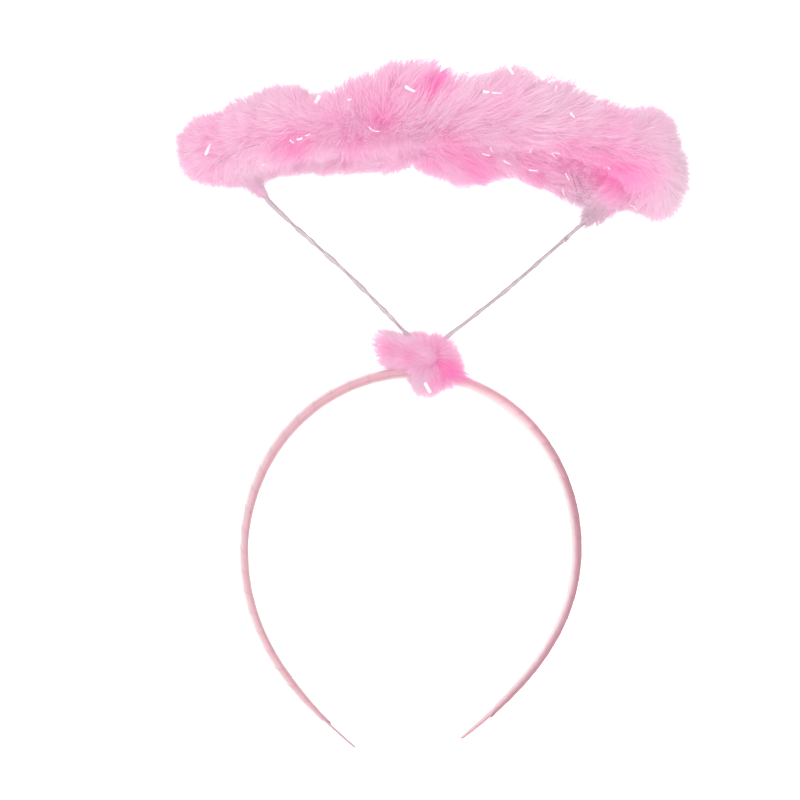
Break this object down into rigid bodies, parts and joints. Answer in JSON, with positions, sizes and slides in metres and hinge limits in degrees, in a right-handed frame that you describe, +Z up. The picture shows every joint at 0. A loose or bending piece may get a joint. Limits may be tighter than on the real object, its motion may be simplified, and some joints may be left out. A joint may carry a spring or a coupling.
{
  "type": "halo headband",
  "caption": "Arched headband wound in satin ribbon, with a feather tuft at its crown and a down-trimmed halo ring held above it on crossed wire legs.",
  "frame": {"origin": "the underside of the wound band at the crown, on its middle line, where it rests on the head", "axes": "+Z up, +X to the right in the picture, -Y to the front, the side in the picture"},
  "size_m": [0.1972, 0.1933, 0.2491],
  "materials": {
    "band_plastic": "smooth pink plastic",
    "satin_ribbon": "pale pink satin",
    "film_wire": "clear pinkish film twisted round steel wire",
    "halo_down": "dyed pink marabou down",
    "tuft_down": "dyed pink marabou down"
  },
  "bodies": {
    "root": {"band": "band_plastic", "ribbon_winding": "satin_ribbon", "halo_wire": "film_wire", "halo_trim": "halo_down", "crown_tuft": "tuft_down"}
  },
  "joints": []
}
